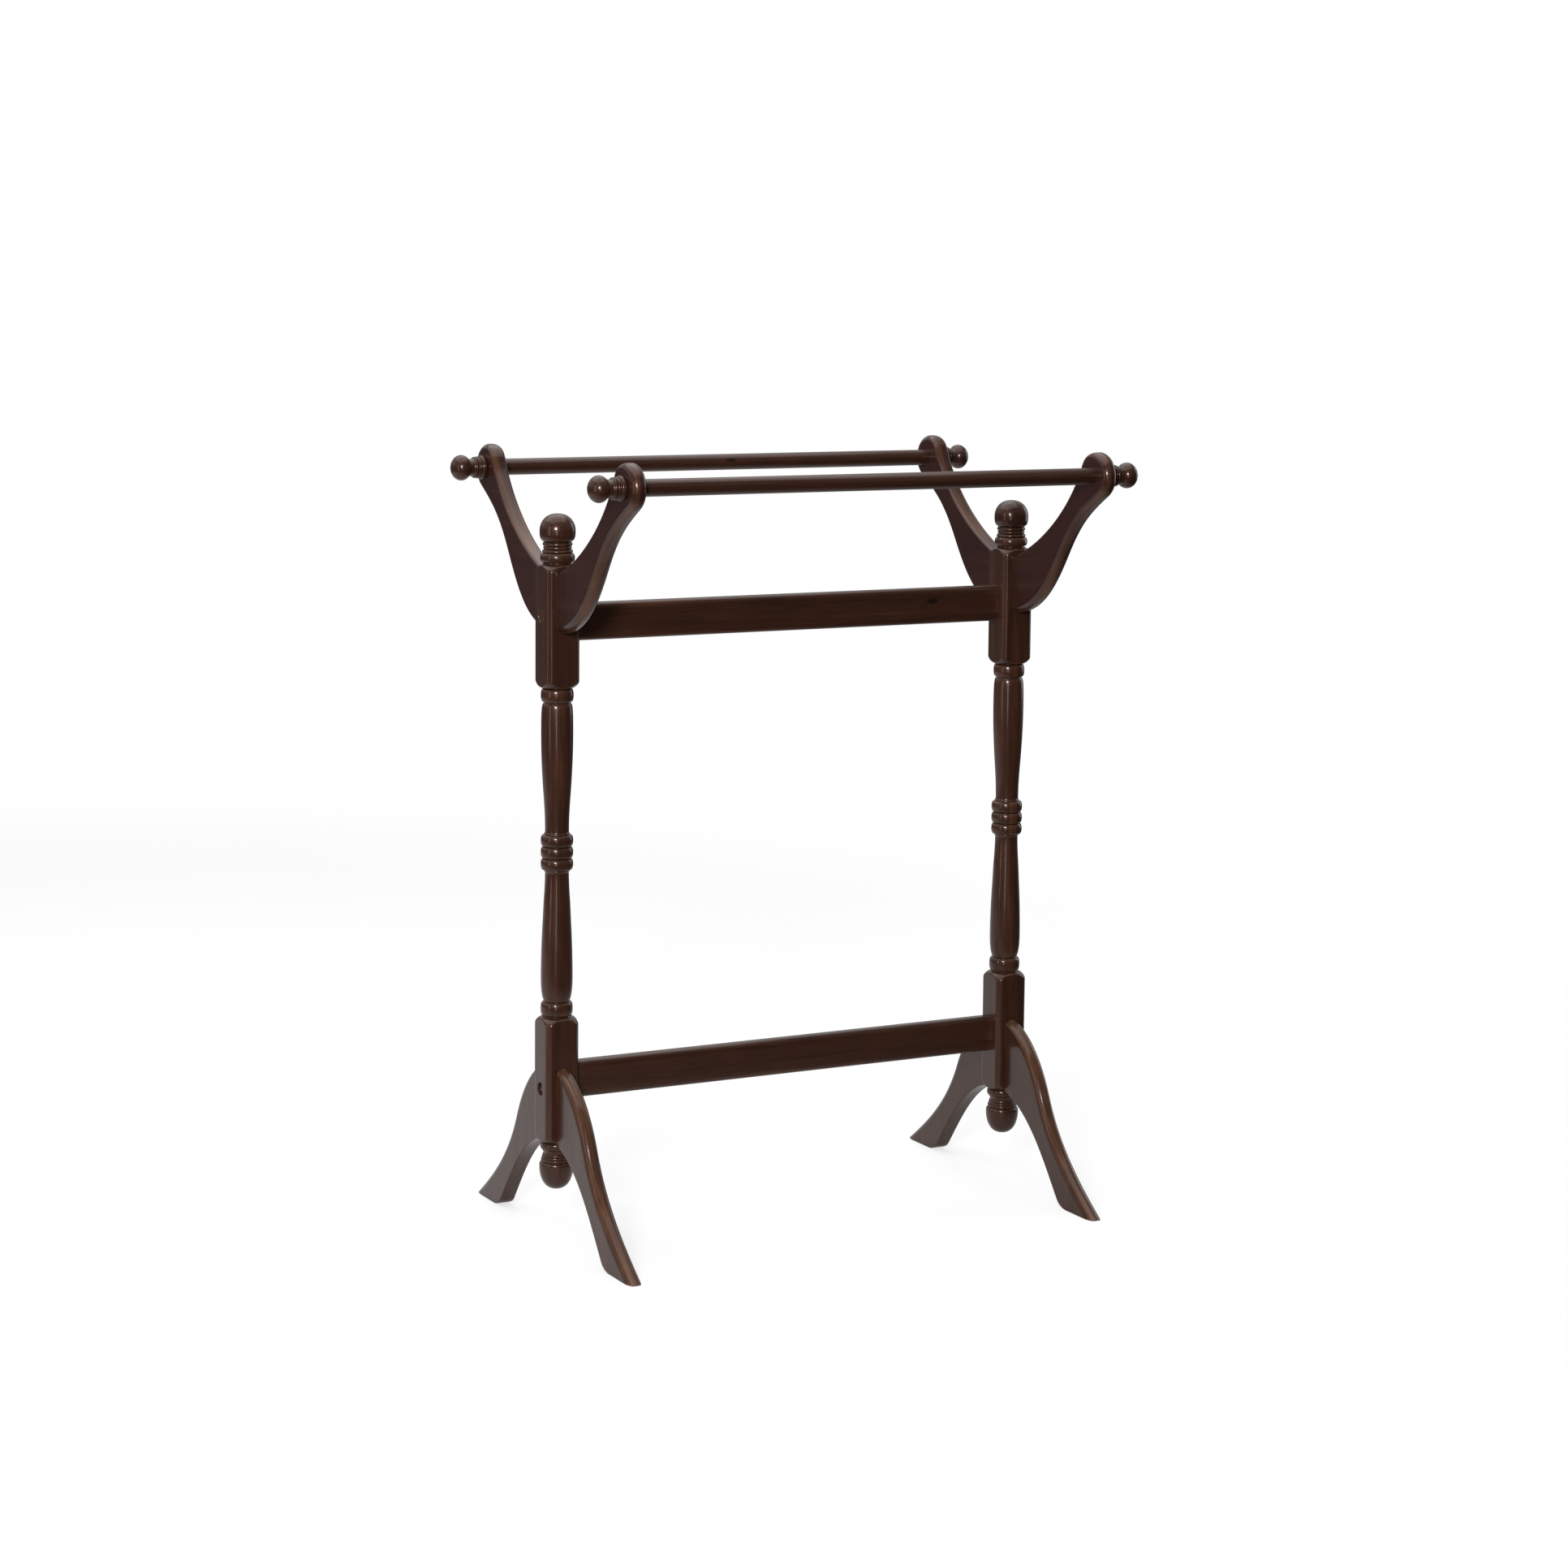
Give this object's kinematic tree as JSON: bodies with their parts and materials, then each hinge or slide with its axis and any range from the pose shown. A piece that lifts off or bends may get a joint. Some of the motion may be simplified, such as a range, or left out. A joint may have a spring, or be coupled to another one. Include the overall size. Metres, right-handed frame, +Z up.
{
  "type": "quilt rack",
  "caption": "Free-standing turned-wood quilt rack: posts with finials, curved wings holding round bars, flat rails, sabre legs and ball knobs.",
  "frame": {"origin": "on the floor, under the middle of the rack", "axes": "+Z up, X along the hanging bars with the right end on +X, Y front to back with the front on -Y"},
  "size_m": [0.6836, 0.4326, 0.8855],
  "materials": {
    "post_wood": "dark mahogany stain under a clear satin to gloss lacquer, lightly rubbed on the turned edges",
    "wing_wood": "dark mahogany stain under a clear satin to gloss lacquer",
    "leg_wood": "dark mahogany stain under a clear satin to gloss lacquer",
    "rail_wood": "dark mahogany stain under a clear satin to gloss lacquer",
    "bar_wood": "dark mahogany stain under a clear satin to gloss lacquer",
    "knob_wood": "dark mahogany stain under a clear satin to gloss lacquer, glossier on the ball",
    "plug_wood": "stained end grain",
    "dowel_wood": "bare beech",
    "zinc_steel": "zinc plated"
  },
  "bodies": {
    "root": {"left_post": "post_wood", "left_front_wing": "wing_wood", "left_front_leg": "leg_wood", "left_front_knob": "knob_wood", "left_front_knob_screw": "zinc_steel", "left_front_wing_dowel_1": "dowel_wood", "left_front_leg_dowel_1": "dowel_wood", "left_front_wing_dowel_2": "dowel_wood", "left_front_leg_dowel_2": "dowel_wood", "left_back_wing": "wing_wood", "left_back_leg": "leg_wood", "left_back_knob": "knob_wood", "left_back_knob_screw": "zinc_steel", "left_back_wing_dowel_1": "dowel_wood", "left_back_leg_dowel_1": "dowel_wood", "left_back_wing_dowel_2": "dowel_wood", "left_back_leg_dowel_2": "dowel_wood", "left_lower_rail_screw": "zinc_steel", "left_lower_plug": "plug_wood", "left_lower_rail_dowel": "dowel_wood", "left_upper_rail_screw": "zinc_steel", "left_upper_plug": "plug_wood", "left_upper_rail_dowel": "dowel_wood", "right_post": "post_wood", "right_front_wing": "wing_wood", "right_front_leg": "leg_wood", "right_front_knob": "knob_wood", "right_front_knob_screw": "zinc_steel", "right_front_wing_dowel_1": "dowel_wood", "right_front_leg_dowel_1": "dowel_wood", "right_front_wing_dowel_2": "dowel_wood", "right_front_leg_dowel_2": "dowel_wood", "right_back_wing": "wing_wood", "right_back_leg": "leg_wood", "right_back_knob": "knob_wood", "right_back_knob_screw": "zinc_steel", "right_back_wing_dowel_1": "dowel_wood", "right_back_leg_dowel_1": "dowel_wood", "right_back_wing_dowel_2": "dowel_wood", "right_back_leg_dowel_2": "dowel_wood", "right_lower_rail_screw": "zinc_steel", "right_lower_plug": "plug_wood", "right_lower_rail_dowel": "dowel_wood", "right_upper_rail_screw": "zinc_steel", "right_upper_plug": "plug_wood", "right_upper_rail_dowel": "dowel_wood", "lower_rail": "rail_wood", "upper_rail": "rail_wood", "front_bar": "bar_wood", "back_bar": "bar_wood"}
  },
  "joints": []
}
